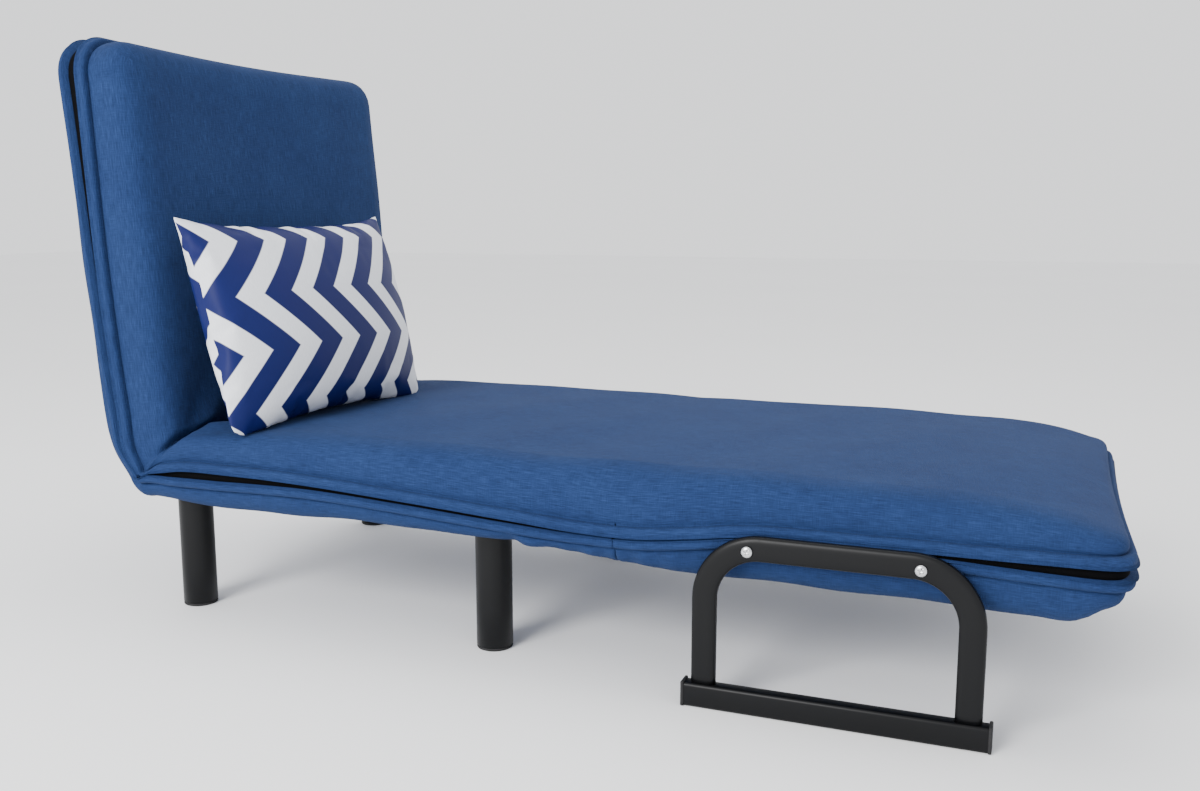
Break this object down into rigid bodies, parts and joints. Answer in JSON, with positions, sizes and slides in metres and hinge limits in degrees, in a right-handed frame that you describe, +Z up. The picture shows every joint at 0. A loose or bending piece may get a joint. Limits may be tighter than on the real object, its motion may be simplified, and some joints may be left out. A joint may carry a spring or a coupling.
{
  "type": "convertible futon chair bed",
  "caption": "Tri-fold futon chair bed: reclining padded back, seat on round legs, and a foot section on metal arm frames that folds over the seat.",
  "frame": {"origin": "on the floor below the middle of the whole length and width, in the stored pose: back up, foot section out", "axes": "+X from the back towards the foot end, +Y across to the far side, +Z up"},
  "size_m": [1.4212, 0.6834, 0.8347],
  "materials": {
    "linen": "matte",
    "zip_tape": "matte",
    "foam": "matte",
    "glide": "matte",
    "black_metal": "satin",
    "frame_steel": "satin",
    "spring_wire": "satin",
    "zinc": "satin",
    "pillow_satin": "satin"
  },
  "bodies": {
    "seat": {"seat_rail_near": "frame_steel", "seat_rail_far": "frame_steel", "seat_crossbar_rear": "frame_steel", "seat_crossbar_front": "frame_steel", "seat_spring_near": "spring_wire", "seat_spring_far": "spring_wire", "leg_rear_near": "black_metal", "leg_rear_far": "black_metal", "leg_front_near": "black_metal", "leg_front_far": "black_metal", "leg_glide_rear_near": "glide", "leg_glide_rear_far": "glide", "leg_glide_front_near": "glide", "leg_glide_front_far": "glide", "seat_foam": "foam", "seat_upper_cover": "linen", "seat_lower_cover": "linen", "seat_zip_near": "zip_tape", "seat_zip_far": "zip_tape", "seat_fold_ear_near": "frame_steel", "seat_fold_ear_far": "frame_steel", "ratchet_plate_near": "frame_steel", "ratchet_plate_far": "frame_steel"},
    "back": {"back_rail_near": "frame_steel", "back_rail_far": "frame_steel", "back_crossbar_lower": "frame_steel", "back_crossbar_top": "frame_steel", "back_spring_near": "spring_wire", "back_spring_far": "spring_wire", "back_foam": "foam", "back_front_cover": "linen", "back_rear_cover": "linen", "back_zip": "zip_tape", "ratchet_arm_near": "frame_steel", "ratchet_arm_far": "frame_steel", "ratchet_pin_near": "zinc", "ratchet_pin_far": "zinc"},
    "foot": {"foot_rail_near": "frame_steel", "foot_rail_far": "frame_steel", "foot_crossbar_rear": "frame_steel", "foot_crossbar_front": "frame_steel", "foot_spring": "spring_wire", "foot_foam": "foam", "foot_upper_cover": "linen", "foot_lower_cover": "linen", "foot_zip": "zip_tape", "foot_fold_ear_near": "frame_steel", "foot_fold_ear_far": "frame_steel", "fold_rivet_near": "zinc", "fold_rivet_far": "zinc", "arm_frame_near": "black_metal", "arm_frame_far": "black_metal", "arm_floor_bar_near": "black_metal", "arm_floor_bar_far": "black_metal", "arm_bolt_rear_near": "zinc", "arm_bolt_rear_far": "zinc", "arm_bolt_front_near": "zinc", "arm_bolt_front_far": "zinc"},
    "zip_slider": {"zip_slider": "zinc"},
    "pillow": {"pillow": "pillow_satin"}
  },
  "joints": [
    {"name": "back_recline", "type": "hinge", "parent": "seat", "child": "back", "pos_m": [-0.61454, 0, 0.2], "axis": [0, -1, 0], "range_deg": [-6, 85]},
    {"name": "foot_fold", "type": "hinge", "parent": "seat", "child": "foot", "pos_m": [0.13046, 0, 0.272], "axis": [0, -1, 0], "range_deg": [0, 180], "deforming": ["pillow"]},
    {"name": "zip_slide", "type": "slide", "parent": "seat", "child": "zip_slider", "axis": [-1, 0, 0], "range_m": [0, 0.45]},
    {"name": "pillow_settle", "type": "hinge", "parent": "seat", "child": "pillow", "pos_m": [-0.49834, 0, 0.2658], "axis": [0, -1, 0], "range_deg": [-6, 75]}
  ],
  "couplings": [
    {"joint": "pillow_settle", "follows": "back_recline", "ratio": 0.87}
  ]
}
